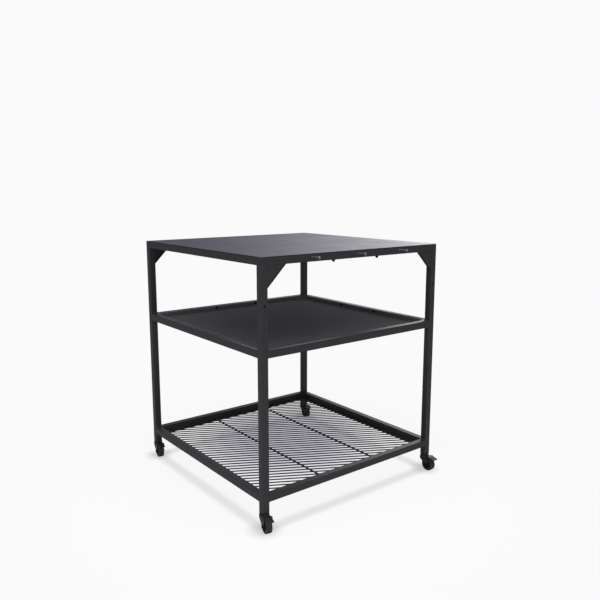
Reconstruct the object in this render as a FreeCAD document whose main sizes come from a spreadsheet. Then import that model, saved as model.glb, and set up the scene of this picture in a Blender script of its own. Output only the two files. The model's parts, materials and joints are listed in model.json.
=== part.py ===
"""Square steel table on four braked swivel casters, for cooking outdoors.

The part stands on the floor at z = 0 and faces -Y. Its origin is the middle of the floor that it
covers, pegs included, so the frame's own middle lies half a peg's reach behind the origin.
"""
import FreeCAD
import Part
import math
import os
import re
import Sketcher

# Driving sizes: millimetres, angles in degrees.
SIZES = {
    "table_width": (800, "outside of the legs, left to right"),
    "table_depth": (800, "outside of the legs, front to back"),
    "table_height": (895, "floor to the sheet top"),
    "tube_size": (25, "side of the square tube"),
    "tube_wall": (1.5, "wall of the square tube"),
    "tube_corner": (2, "outer corner radius of the square tube"),
    "top_sheet": (2, "thickness of the sheet top"),
    "top_edge": (0.8, "rounding of the sheet top's upper edge"),
    "stud_pitch": (200, "spacing of the two weld studs on the front and on the back rail"),
    "stud_thick": (6, "diameter of the weld studs"),
    "nut_height": (8, "height of the cap nuts"),
    "nut_flats": (10, "width across the flats of a cap nut's hexagon"),
    "nut_hexagon": (4, "height of a cap nut's hexagon"),
    "nut_dome": (9.4, "diameter of a cap nut's dome"),
    "nut_round": (3.5, "rounding of a cap nut's dome"),
    "nut_floor": (2, "metal left below the bore of a cap nut"),
    "peg_pitch": (200, "spacing of the tool pegs"),
    "peg_lift": (2.5, "how far the pegs sit above the middle of their rail"),
    "peg_thick": (5, "diameter of a peg's shaft"),
    "peg_reach": (38, "how far a peg stands out from the rail"),
    "peg_head": (9.5, "diameter of a peg's head"),
    "peg_head_length": (7, "length of a peg's head"),
    "peg_round": (1.5, "rounding of a peg's head"),
    "peg_collar": (8, "diameter of a peg's collar"),
    "peg_collar_thick": (1.2, "thickness of a peg's collar"),
    "peg_root": (12, "length of a peg's thread inside the rail"),
    "gusset_leg": (70, "side of a corner gusset"),
    "gusset_relief": (3, "clipped inner corner of a gusset, clear of the weld"),
    "gusset_sheet": (2, "thickness of a gusset's web"),
    "gusset_edge": (3, "thickness of a gusset's turned edge"),
    "gusset_depth": (12, "depth of a gusset's turned edge"),
    "tray_top": (603, "floor to the tray's rim"),
    "tray_sheet": (1.5, "thickness of the tray's sheet"),
    "tray_depth": (16, "depth of the tray's well"),
    "tray_cut": (15, "side of the cut corners of the tray's well"),
    "tray_gap": (0.5, "gap between the tray and the tubes beside it"),
    "tray_bend": (2, "bend radius at the well's upper edge"),
    "tray_bolt_pitch": (200, "spacing of the two bolts in each wall of the tray"),
    "tray_bolt_drop": (8, "tray's rim to its bolts"),
    "base_top": (123, "floor to the top of the base rails"),
    "wire_thick": (4.6, "diameter of the rack's wires"),
    "wire_pitch": (21.9, "spacing of the rack's wires, square to them"),
    "wire_angle": (29.6, "slant of the rack's wires to the front rail"),
    "wire_start": (18.1, "front left corner to the line of the first wire, square to it"),
    "rod_thick": (6, "diameter of the rods that carry the wires"),
    "rod_pitch": (254, "spacing of the two rods"),
    "ledge_width": (25, "width of the flat bars under the rack"),
    "ledge_thick": (3, "thickness of the flat bars under the rack"),
    "ledge_lap": (8, "how far the flat bars reach under the base rails"),
    "bolt_thick": (5, "diameter of the bolts"),
    "bolt_length": (12, "length of the bolts under the head"),
    "bolt_head": (10, "diameter of the bolts' heads"),
    "bolt_head_height": (2.8, "height of the bolts' heads"),
    "bolt_round": (2, "rounding of the bolts' heads"),
    "bolt_socket": (3, "width across the flats of the bolts' sockets"),
    "bolt_socket_depth": (1.6, "depth of the bolts' sockets"),
    "leg_hole": (6.5, "hole for an accessory in each front leg"),
    "leg_hole_height": (743, "floor to the holes in the front legs"),
    "hole_gap": (0.4, "how much wider a hole is than its bolt"),
    "plug_flange": (2, "thickness of the end plugs' flange"),
    "plug_length": (24, "length of the end plugs inside the leg"),
    "plug_gap": (0.2, "gap between an end plug and the tube round it"),
    "wheel_size": (50, "diameter of a wheel"),
    "wheel_width": (21, "width of a wheel's tread"),
    "tyre_thick": (6, "thickness of a tyre"),
    "tyre_shoulder": (2, "rounding of a tyre's shoulders"),
    "hub_rim": (3, "thickness of a hub's rim"),
    "hub_web": (6, "thickness of a hub's web"),
    "hub_boss": (14, "diameter of a hub's boss"),
    "hub_rib": (2, "thickness of a hub's ribs"),
    "hub_rib_inset": (1.5, "depth of a hub's ribs below its rim"),
    "hub_side_gap": (0.5, "gap between a hub's boss and the fork, each side"),
    "caster_trail": (20, "swivel axis to the wheel's axle"),
    "turn_front_left": (-102, "direction in which the front left caster trails"),
    "turn_front_right": (-87, "direction in which the front right caster trails"),
    "turn_back_left": (-98, "direction in which the back left caster trails"),
    "turn_back_right": (-98, "direction in which the back right caster trails"),
    "wheel_room": (3.5, "gap between a tyre and the fork above it"),
    "fork_sheet": (2, "thickness of a fork's sheet"),
    "fork_gap": (25.5, "clear width between a fork's cheeks"),
    "fork_bend": (3.5, "outer radius of a fork's bends"),
    "fork_nose": (13, "length of a fork ahead of its swivel axis"),
    "fork_nose_drop": (7, "how far a fork's nose reaches below its crown"),
    "fork_tail": (4, "length of a fork's cheeks beyond the lever's pin"),
    "fork_ear": (9, "width of a fork's ears round the lever's pin"),
    "fork_boss": (14, "width of a fork's cheeks at the axle"),
    "race_width": (34, "diameter of the ball race housing"),
    "race_height": (4, "height of the ball race housing above the crown"),
    "race_round": (2.5, "rounding of the ball race housing"),
    "stem_thick": (10, "diameter of a caster's stem"),
    "stem_length": (26, "length of a stem above its collar"),
    "collar_flats": (17, "width across the flats of a stem's collar"),
    "collar_height": (2.2, "height of a stem's collar"),
    "rivet_width": (16, "diameter of a stem's riveted end"),
    "rivet_height": (2.5, "height of a stem's riveted end"),
    "axle_thick": (6, "diameter of a wheel's axle"),
    "axle_head": (11, "diameter of an axle's heads"),
    "axle_head_height": (2.5, "height of an axle's heads"),
    "pin_thick": (4, "diameter of a brake lever's pin"),
    "pin_head": (7, "diameter of a pin's heads"),
    "pin_head_height": (1.2, "height of a pin's heads"),
    "pin_ahead": (7, "wheel's axle to the lever's pin, along the trail"),
    "pin_lift": (4, "top of the tyre to the lever's pin"),
    "lever_reach": (53.5, "swivel axis to the lever's tip"),
    "lever_width": (24, "width of a brake lever"),
    "lever_gap": (1.5, "gap between the ball race housing and the lever behind it"),
    "lever_hump": (4.5, "lever's pin to its highest face"),
    "lever_fall": (1.5, "how far the lever's tip lies below its pin"),
    "lever_tip": (3, "thickness of the lever's tip"),
    "lever_sheet": (2, "thickness of the lever's sheet"),
    "lever_round": (1.5, "rounding of the lever's bends"),
    "lever_boss": (6.4, "diameter of a lever's boss"),
    "lever_shoe": (3.6, "diameter of the shoe that presses on the tyre"),
    "lever_shoe_drop": (2.6, "lever's pin down to its shoe"),
    "run_fit": (0.1, "how much wider a bore is than the shaft that turns in it"),
    "run_gap": (0.3, "gap between faces that turn past each other"),
}

# Heights and places that several pieces share, as formulas of the sizes.
PEG_MIDDLE = "peg_reach / 2"
LEG_X = "(table_width / 2 - tube_size / 2)"
LEG_Y = "(table_depth / 2 - tube_size / 2)"
RAIL_X = "(table_width - 2 * tube_size)"
RAIL_Y = "(table_depth - 2 * tube_size)"
TOP_RAIL_Z = "(table_height - top_sheet - tube_size / 2)"
TRAY_RAIL_Z = "(tray_top - tray_sheet - tube_size / 2)"
BASE_RAIL_Z = "(base_top - tube_size / 2)"
CROWN_LOW = "(wheel_size + wheel_room)"
CROWN_TOP = "(wheel_size + wheel_room + fork_sheet)"
RACE_TOP = "(wheel_size + wheel_room + fork_sheet + race_height)"
FOOT = "(wheel_size + wheel_room + fork_sheet + race_height + run_gap + collar_height)"
LEG_LOW = f"({FOOT} + plug_flange)"
FORK_OUT = "(fork_gap / 2 + fork_sheet)"
PIN_X = "(caster_trail + pin_ahead)"
PIN_Z = "(wheel_size + pin_lift)"

STUD_STEPS = (-0.5, 0.5)
PEG_STEPS = {"left": -1, "middle": 0, "right": 1}
PAIR_STEPS = (-0.5, 0.5)
HUB_RIBS = 6

CORNERS = {
    "front_left": (-1, -1),
    "front_right": (1, -1),
    "back_left": (-1, 1),
    "back_right": (1, 1),
}

doc = FreeCAD.newDocument("OutdoorTable")
sheet = doc.addObject("Spreadsheet::Sheet", "Sizes")
desk = doc.addObject("Spreadsheet::Sheet", "Sums")
nodes = []


def fill_sheet():
    """Write every driving size into the sheet, one row each, with its name as alias."""
    for row, (name, (size, meaning)) in enumerate(SIZES.items(), start=1):
        sheet.set(f"A{row}", name)
        sheet.set(f"B{row}", str(size))
        sheet.set(f"C{row}", meaning)
        sheet.setAlias(f"B{row}", name)
    doc.recompute()


def cells(formula):
    """Point each size's name in a formula at its cell."""
    return re.sub(r"[a-z_]+", lambda word: f"Sizes.{word[0]}" if word[0] in SIZES else word[0], formula)


def number(formula):
    """What a formula of the sizes comes to, worked out in a cell of a second sheet."""
    desk.set("A1", f"={cells(formula)}")
    desk.recompute()
    return float(desk.get("A1"))


def bind(thing, name, formula):
    thing.setExpression(name, cells(formula))


def place(thing, x, y, z, axis=(0, 0, 1), angle="0"):
    """Put a piece at a point of the table, measured from the floor below the frame's middle."""
    point = f"vector({x}; {y} + {PEG_MIDDLE}; {z})"
    turn = f"rotation(vector({axis[0]}; {axis[1]}; {axis[2]}); {angle})"
    bind(thing, "Placement", f"placement({point}; {turn})")


def new_body(label):
    return doc.addObject("PartDesign::Body", label)


def keep(thing, label):
    """Make a finished piece one of the part's nodes."""
    thing.Label = label
    nodes.append(thing)
    return thing


def hold_point(sketch, curve, spot, x, y):
    """Tie a point of a sketch's curve to its distances from the sketch's origin."""
    for kind, formula in (("DistanceX", x), ("DistanceY", y)):
        rule = Sketcher.Constraint(kind, -1, 1, curve, spot, number(formula))
        bind(sketch, f"Constraints[{sketch.addConstraint(rule)}]", formula)


def draw(body, plane, start, outlines=(), circles=(), shift="0"):
    """Sketch closed outlines of corner points, and circles of centre and diameter, on a plane."""
    sketch = body.newObject("Sketcher::SketchObject", "Sketch")
    support = [item for item in body.Origin.OriginFeatures if item.Role == f"{plane}_Plane"][0]
    sketch.AttachmentSupport = [(support, "")]
    sketch.MapMode = "FlatFace"
    bind(sketch, "AttachmentOffset.Base.z", start)
    bind(sketch, "AttachmentOffset.Base.x", shift)
    for corners in outlines:
        points = [FreeCAD.Vector(number(x), number(y), 0) for x, y in corners]
        lines = [Part.LineSegment(a, b) for a, b in zip(points, points[1:] + points[:1])]
        first = sketch.GeometryCount
        sketch.addGeometry(lines, False)
        for step, (x, y) in enumerate(corners):
            after = first + (step + 1) % len(corners)
            sketch.addConstraint(Sketcher.Constraint("Coincident", first + step, 2, after, 1))
            hold_point(sketch, first + step, 1, x, y)
    for x, y, width in circles:
        centre = FreeCAD.Vector(number(x), number(y), 0)
        curve = sketch.addGeometry(Part.Circle(centre, FreeCAD.Vector(0, 0, 1), number(width) / 2), False)
        hold_point(sketch, curve, 3, x, y)
        rule = sketch.addConstraint(Sketcher.Constraint("Diameter", curve, number(width)))
        bind(sketch, f"Constraints[{rule}]", width)
    return sketch


def grow(body, plane, start, height, outlines=(), circles=()):
    """Pad a sketch from its plane's offset along the plane's normal."""
    pad = body.newObject("PartDesign::Pad", "Pad")
    pad.Profile = draw(body, plane, start, outlines, circles)
    bind(pad, "Length", height)
    doc.recompute()
    return pad


def cut(body, plane, start, depth, outlines=(), circles=()):
    """Pocket a sketch from its plane's offset along the plane's normal."""
    pocket = body.newObject("PartDesign::Pocket", "Pocket")
    pocket.Profile = draw(body, plane, start, outlines, circles)
    pocket.Reversed = True
    bind(pocket, "Length", depth)
    doc.recompute()
    return pocket


def spin(body, plane, start, outline, shift="0"):
    """Turn an outline about its sketch's upright axis."""
    turned = body.newObject("PartDesign::Revolution", "Revolution")
    sketch = draw(body, plane, start, [outline], shift=shift)
    turned.Profile = sketch
    turned.ReferenceAxis = (sketch, ["V_Axis"])
    turned.Angle = 360
    doc.recompute()
    return turned


def round_off(body, feature, radius, wanted):
    """Round the edges of a feature that a test picks out."""
    fillet = body.newObject("PartDesign::Fillet", "Fillet")
    edges = [f"Edge{i}" for i, edge in enumerate(feature.Shape.Edges, start=1) if wanted(edge)]
    fillet.Base = (feature, edges)
    bind(fillet, "Radius", radius)
    doc.recompute()
    return fillet


def runs_up(edge):
    """An edge that is straight and parallel to the body's Z axis."""
    low, high = edge.BoundBox.ZMin, edge.BoundBox.ZMax
    return len(edge.Vertexes) == 2 and abs(edge.Length - (high - low)) < 1e-6


def upright_at(half):
    """A test for the upright edges at the corners of a square round the body's Z axis."""
    def test(edge):
        spots = (edge.BoundBox.XMin, edge.BoundBox.YMin)
        return runs_up(edge) and all(abs(abs(spot) - half) < 1e-3 for spot in spots)
    return test


def level_at(height):
    """A test for level edges at a height."""
    def test(edge):
        return abs(edge.BoundBox.ZMin - height) < 1e-6 and abs(edge.BoundBox.ZMax - height) < 1e-6
    return test


def circle_of(radius):
    """A test for level circles of a radius round the body's Z axis."""
    def test(edge):
        box = edge.BoundBox
        return box.ZLength < 1e-6 and abs(box.XMax - radius) < 1e-3 and abs(box.XMin + radius) < 1e-3
    return test


def square(side):
    half = f"({side}) / 2"
    return [(f"-{half}", f"-{half}"), (half, f"-{half}"), (half, half), (f"-{half}", half)]


def rectangle(x_low, x_high, y_low, y_high):
    return [(x_low, y_low), (x_high, y_low), (x_high, y_high), (x_low, y_high)]


# Square tubes: each one's length runs along its body's Z axis, from zero.
def tube(label, length):
    """A square tube with rounded corners, inside and out."""
    body = new_body(label)
    pad = grow(body, "XY", "0", length, [square("tube_size"), square("tube_size - 2 * tube_wall")])
    outer = round_off(body, pad, "tube_corner", upright_at(number("tube_size / 2")))
    round_off(body, outer, "tube_corner - tube_wall", upright_at(number("tube_size / 2 - tube_wall")))
    return body


def leg(corner):
    """A leg; each front one has a hole for an accessory in its front wall."""
    side, end = CORNERS[corner]
    body = tube(f"leg_{corner}", f"table_height - top_sheet - {LEG_LOW}")
    if end < 0:
        spot = ("0", f"leg_hole_height - {LEG_LOW}", "leg_hole")
        cut(body, "XZ", "0", "tube_size", circles=[spot])
    place(body, f"{side} * {LEG_X}", f"{end} * {LEG_Y}", LEG_LOW)
    keep(body, f"leg_{corner}")


def across(body, end, height):
    """Lay a tube along the front (end -1) or the back (end 1) of the table."""
    place(body, f"-{RAIL_X} / 2", f"{end} * {LEG_Y}", height, (0, 1, 0), "90")


def along(body, side, height):
    """Lay a tube along the left (side -1) or the right (side 1) of the table."""
    place(body, f"{side} * {LEG_X}", f"-{RAIL_Y} / 2", height, (1, 0, 0), "-90")


def top_rails():
    """Four rails under the sheet top; the front one carries the pegs."""
    stud_hole = "stud_thick + hole_gap"
    for name, end in (("front", -1), ("back", 1)):
        body = tube(f"top_rail_{name}", RAIL_X)
        studs = [("0", f"{RAIL_X} / 2 + {step} * stud_pitch", stud_hole) for step in STUD_STEPS]
        cut(body, "YZ", "-tube_size", "2 * tube_size", circles=studs)
        if end < 0:
            peg_hole = "peg_thick + hole_gap"
            pegs = [("-peg_lift", f"{RAIL_X} / 2 + {step} * peg_pitch", peg_hole)
                    for step in PEG_STEPS.values()]
            cut(body, "XZ", "0", "tube_size", circles=pegs)
        across(body, end, TOP_RAIL_Z)
        keep(body, f"top_rail_{name}")
    for name, side in (("left", -1), ("right", 1)):
        body = tube(f"top_rail_{name}", RAIL_Y)
        along(body, side, TOP_RAIL_Z)
        keep(body, f"top_rail_{name}")


def tray_rails():
    """Four rails under the tray's rim, each drilled for two of the tray's bolts."""
    hole = "bolt_thick + hole_gap"
    drop = "(tray_bolt_drop - tray_sheet - tube_size / 2)"
    for name, end in (("front", -1), ("back", 1)):
        body = tube(f"tray_rail_{name}", RAIL_X)
        spots = [(drop, f"{RAIL_X} / 2 + {step} * tray_bolt_pitch", hole) for step in PAIR_STEPS]
        cut(body, "XZ", "-tube_size" if end < 0 else "0", "tube_size", circles=spots)
        across(body, end, TRAY_RAIL_Z)
        keep(body, f"tray_rail_{name}")
    for name, side in (("left", -1), ("right", 1)):
        body = tube(f"tray_rail_{name}", RAIL_Y)
        spots = [(drop, f"{RAIL_Y} / 2 + {step} * tray_bolt_pitch", hole) for step in PAIR_STEPS]
        cut(body, "YZ", "0" if side < 0 else "-tube_size", "tube_size", circles=spots)
        along(body, side, TRAY_RAIL_Z)
        keep(body, f"tray_rail_{name}")


def base_rails():
    """Four rails round the wire rack."""
    for name, end in (("front", -1), ("back", 1)):
        body = tube(f"base_rail_{name}", RAIL_X)
        across(body, end, BASE_RAIL_Z)
        keep(body, f"base_rail_{name}")
    for name, side in (("left", -1), ("right", 1)):
        body = tube(f"base_rail_{name}", RAIL_Y)
        along(body, side, BASE_RAIL_Z)
        keep(body, f"base_rail_{name}")


# The sheet top, with what holds it down.
def sheet_top():
    body = new_body("tabletop")
    half_x, half_y = "table_width / 2", "table_depth / 2"
    plate = grow(body, "XY", "0", "top_sheet", [rectangle(f"-{half_x}", half_x, f"-{half_y}", half_y)])
    corners = round_off(body, plate, "tube_corner", runs_up)
    round_off(body, corners, "top_edge", level_at(number("top_sheet")))
    place(body, "0", "0", "table_height - top_sheet")
    keep(body, "tabletop")


def stud_spots(width):
    """The weld studs of both rails, as circles of a width round their places."""
    return [(f"{step} * stud_pitch", f"{end} * {LEG_Y}", width) for end in (-1, 1) for step in STUD_STEPS]


def top_studs():
    body = new_body("top_studs")
    length = "tube_size + nut_height - nut_floor - run_gap"
    grow(body, "XY", "0", length, circles=stud_spots("stud_thick"))
    place(body, "0", "0", f"table_height - top_sheet - ({length})")
    keep(body, "top_studs")


def cap_nuts():
    """Domed nuts on the studs, below the rails."""
    body = new_body("cap_nuts")
    domes = grow(body, "XY", "0", "nut_height", circles=stud_spots("nut_dome"))
    round_off(body, domes, "nut_round", level_at(0))
    hexagons = [hexagon("nut_flats", x, y) for x, y, _ in stud_spots("nut_flats")]
    grow(body, "XY", "nut_height - nut_hexagon", "nut_hexagon", hexagons)
    cut(body, "XY", "nut_floor", "nut_height", circles=stud_spots("stud_thick + run_fit"))
    place(body, "0", "0", "table_height - top_sheet - tube_size - nut_height")
    keep(body, "cap_nuts")


def tool_peg(name, step):
    """A turned peg with a collar, screwed into the front rail."""
    body = new_body(f"peg_{name}")
    shaft, collar, head = "peg_thick / 2", "peg_collar / 2", "peg_head / 2"
    head_low = "peg_reach - peg_head_length"
    outline = [("0", "-peg_root"), (shaft, "-peg_root"), (shaft, "0"), (collar, "0"),
               (collar, "peg_collar_thick"), (shaft, "peg_collar_thick"), (shaft, head_low),
               (head, head_low), (head, "peg_reach"), ("0", "peg_reach")]
    turned = spin(body, "XZ", "0", outline)
    round_off(body, turned, "peg_round", circle_of(number(head)))
    place(body, f"{step} * peg_pitch", "-table_depth / 2", f"{TOP_RAIL_Z} + peg_lift", (1, 0, 0), "90")
    keep(body, f"peg_{name}")


def gusset(corner):
    """A triangular web between leg and top rail, with its long edge turned inwards."""
    side, end = CORNERS[corner]
    facing = side * end
    body = new_body(f"gusset_{corner}")
    inner = "(gusset_leg - gusset_edge * sqrt(2))"
    web = [(f"{facing} * gusset_relief", "0"), (f"{facing} * gusset_leg", "0"),
           ("0", "-gusset_leg"), ("0", "-gusset_relief")]
    edge = [(f"{facing} * gusset_leg", "0"), (f"{facing} * {inner}", "0"),
            ("0", f"-{inner}"), ("0", "-gusset_leg")]
    grow(body, "XZ", "-(tube_corner + gusset_sheet)", "gusset_sheet", [web])
    grow(body, "XZ", "-gusset_depth", "gusset_depth", [edge])
    angle = "0" if end < 0 else "180"
    place(body, f"{side} * {RAIL_X} / 2", f"{end} * table_depth / 2",
          "table_height - top_sheet - tube_size", (0, 0, 1), angle)
    keep(body, f"gusset_{corner}")


# The tray: its rim lies on the rails and its well hangs between them.
def well(half_x, half_y, corner):
    """An outline with straight cut corners."""
    short_x, short_y = f"({half_x} - {corner})", f"({half_y} - {corner})"
    return [(short_x, f"-{half_y}"), (half_x, f"-{short_y}"), (half_x, short_y), (short_x, half_y),
            (f"-{short_x}", half_y), (f"-{half_x}", short_y), (f"-{half_x}", f"-{short_y}"),
            (f"-{short_x}", f"-{half_y}")]


def tray():
    body = new_body("tray")
    rim_x, rim_y = "table_width / 2", "table_depth / 2"
    notch_x = f"({rim_x} - tube_size - tray_gap)"
    notch_y = f"({rim_y} - tube_size - tray_gap)"
    rim = [(notch_x, f"-{rim_y}"), (notch_x, f"-{notch_y}"), (rim_x, f"-{notch_y}"),
           (rim_x, notch_y), (notch_x, notch_y), (notch_x, rim_y),
           (f"-{notch_x}", rim_y), (f"-{notch_x}", notch_y), (f"-{rim_x}", notch_y),
           (f"-{rim_x}", f"-{notch_y}"), (f"-{notch_x}", f"-{notch_y}"), (f"-{notch_x}", f"-{rim_y}")]
    inside_x, inside_y = f"({notch_x} - tray_sheet)", f"({notch_y} - tray_sheet)"
    inside_cut = "(tray_cut - tray_sheet * (2 - sqrt(2)))"
    grow(body, "XY", "-tray_sheet", "tray_sheet", [rim])
    grow(body, "XY", "-tray_depth - tray_sheet", "tray_depth + tray_sheet",
         [well(notch_x, notch_y, "tray_cut")])
    hollow = cut(body, "XY", "-tray_depth", "2 * tray_depth", [well(inside_x, inside_y, inside_cut)])
    reach_x, reach_y = number(inside_x) + 1e-3, number(inside_y) + 1e-3
    round_off(body, hollow, "tray_bend",
              lambda edge: level_at(0)(edge)
              and max(abs(edge.BoundBox.XMin), abs(edge.BoundBox.XMax)) < reach_x
              and max(abs(edge.BoundBox.YMin), abs(edge.BoundBox.YMax)) < reach_y)
    hole = "bolt_thick + hole_gap"
    fronts = [(f"{step} * tray_bolt_pitch", "-tray_bolt_drop", hole) for step in PAIR_STEPS]
    cut(body, "XZ", f"-{rim_y}", "table_depth", circles=fronts)
    cut(body, "YZ", f"-{rim_x}", "table_width", circles=fronts)
    place(body, "0", "0", "tray_top")
    keep(body, "tray")


# The rack: slanted wires with two rods across them.
def rack():
    base = f"({BASE_RAIL_Z} - tube_size / 2)"
    lean, rise = "sin(wire_angle)", "cos(wire_angle)"
    nearest = number(f"tube_size * ({lean} + {rise}) + wire_thick")
    furthest = number(f"(table_width - tube_size) * {lean} + (table_depth - tube_size) * {rise} - wire_thick")
    first = math.ceil((nearest - number("wire_start")) / number("wire_pitch"))
    last = math.floor((furthest - number("wire_start")) / number("wire_pitch"))
    wires = []
    for step in range(first, last + 1):
        wire = doc.addObject("Part::Cylinder", "Wire")
        bind(wire, "Radius", "wire_thick / 2")
        bind(wire, "Height", "table_width + table_depth")
        away = f"(wire_start + {step} * wire_pitch)"
        x = f"-table_width / 2 + {away} * {lean} - table_depth * {rise}"
        y = f"-table_depth / 2 + {away} * {rise} + table_depth * {lean}"
        place(wire, x, y, f"{base} + wire_thick / 2", (lean, rise, 0), "90")
        wires.append(wire)
    bundle = doc.addObject("Part::Compound", "Bundle")
    bundle.Links = wires
    inside = doc.addObject("Part::Box", "RackInside")
    bind(inside, "Length", RAIL_X)
    bind(inside, "Width", RAIL_Y)
    bind(inside, "Height", "tube_size")
    place(inside, f"-{RAIL_X} / 2", f"-{RAIL_Y} / 2", base)
    trimmed = doc.addObject("Part::Common", "RackWires")
    trimmed.Base = bundle
    trimmed.Tool = inside
    keep(trimmed, "rack_wires")
    rods = new_body("rack_rods")
    spots = [(f"{step} * rod_pitch", "0", "rod_thick") for step in PAIR_STEPS]
    grow(rods, "XZ", f"-{RAIL_Y} / 2", RAIL_Y, circles=spots)
    place(rods, "0", "0", f"{base} + wire_thick + rod_thick / 2")
    keep(rods, "rack_rods")


def rack_ledges():
    """Flat bars welded under the base rails, on which the wires' ends lie."""
    low = f"{BASE_RAIL_Z} - tube_size / 2 - ledge_thick"
    out_x, out_y = f"({RAIL_X} / 2 + ledge_lap)", f"({RAIL_Y} / 2 + ledge_lap)"
    between = f"(2 * {out_y} - 2 * ledge_width)"
    bars = {"front": (RAIL_X, "ledge_width", f"-{RAIL_X} / 2", f"-{out_y}"),
            "back": (RAIL_X, "ledge_width", f"-{RAIL_X} / 2", f"{out_y} - ledge_width"),
            "left": ("ledge_width", between, f"-{out_x}", f"-{between} / 2"),
            "right": ("ledge_width", between, f"{out_x} - ledge_width", f"-{between} / 2")}
    for side, (length, width, x, y) in bars.items():
        bar = doc.addObject("Part::Box", "Ledge")
        bind(bar, "Length", length)
        bind(bar, "Width", width)
        bind(bar, "Height", "ledge_thick")
        place(bar, x, y, low)
        keep(bar, f"rack_ledge_{side}")


# Bolts: the seat under the head is at zero and the head stands up the body's Z axis.
def bolt(x, y, z, axis, angle):
    body = new_body("Bolt")
    shank, head = "bolt_thick / 2", "bolt_head / 2"
    outline = [("0", "-bolt_length"), (shank, "-bolt_length"), (shank, "0"), (head, "0"),
               (head, "bolt_head_height"), ("0", "bolt_head_height")]
    turned = spin(body, "XZ", "0", outline)
    round_off(body, turned, "bolt_round", level_at(number("bolt_head_height")))
    cut(body, "XY", "bolt_head_height - bolt_socket_depth", "bolt_head_height",
        [hexagon("bolt_socket")])
    place(body, x, y, z, axis, angle)
    return body


def hexagon(flats, x="0", y="0"):
    """A hexagon's corners, from its width across the flats and its middle."""
    point, side = f"({flats}) / sqrt(3)", f"({flats}) / sqrt(12)"
    half = f"({flats}) / 2"
    return [(f"{x} + {half}", f"{y} - {side}"), (f"{x} + {half}", f"{y} + {side}"), (x, f"{y} + {point}"),
            (f"{x} - {half}", f"{y} + {side}"), (f"{x} - {half}", f"{y} - {side}"), (x, f"{y} - {point}")]


def group(label, pieces):
    together = doc.addObject("Part::Compound", label)
    together.Links = pieces
    keep(together, label)


TO_FRONT = ((1, 0, 0), "90")
TO_BACK = ((1, 0, 0), "-90")
TO_LEFT = ((0, 1, 0), "-90")
TO_RIGHT = ((0, 1, 0), "90")


def tray_bolts():
    """Two socket bolts through each wall of the tray into the rail beside it."""
    wall_x = f"({RAIL_X} / 2 - tray_gap - tray_sheet)"
    wall_y = f"({RAIL_Y} / 2 - tray_gap - tray_sheet)"
    height = "tray_top - tray_bolt_drop"
    pieces = []
    for step in PAIR_STEPS:
        spot = f"{step} * tray_bolt_pitch"
        pieces.append(bolt(spot, f"-{wall_y}", height, *TO_BACK))
        pieces.append(bolt(spot, wall_y, height, *TO_FRONT))
        pieces.append(bolt(f"-{wall_x}", spot, height, *TO_RIGHT))
        pieces.append(bolt(wall_x, spot, height, *TO_LEFT))
    group("tray_bolts", pieces)


# Casters: each body's origin is on the floor below the stem, and its X axis points along the trail.
def leg_plugs():
    """Plugs in the legs' lower ends, each with a bore for a stem."""
    pieces = []
    for side, end in CORNERS.values():
        body = new_body("Plug")
        flange = grow(body, "XY", "0", "plug_flange", [square("tube_size")])
        round_off(body, flange, "tube_corner", runs_up)
        shank = "tube_size - 2 * tube_wall - 2 * plug_gap"
        grow(body, "XY", "0", "plug_flange + plug_length", [cut_square(shank, "tube_corner - tube_wall")])
        cut(body, "XY", "0", "plug_flange + plug_length", circles=[("0", "0", "stem_thick + run_fit")])
        place(body, f"{side} * {LEG_X}", f"{end} * {LEG_Y}", FOOT)
        pieces.append(body)
    group("leg_plugs", pieces)


def cut_square(side, corner):
    """A square outline with straight cut corners."""
    return well(f"({side}) / 2", f"({side}) / 2", f"({corner})")


def caster_stem(label):
    """The fixed stem: threaded end, hexagon collar, and the end riveted under the fork's crown."""
    body = new_body(label)
    thick, rivet = "stem_thick / 2", "rivet_width / 2"
    rivet_top = f"{CROWN_LOW} - run_gap"
    outline = [("0", f"{rivet_top} - rivet_height"), (rivet, f"{rivet_top} - rivet_height"),
               (rivet, rivet_top), (thick, rivet_top), (thick, f"{FOOT} + stem_length"),
               ("0", f"{FOOT} + stem_length")]
    spin(body, "XZ", "0", outline)
    grow(body, "XY", f"{FOOT} - collar_height", "collar_height", [hexagon("collar_flats")])
    return body


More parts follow.
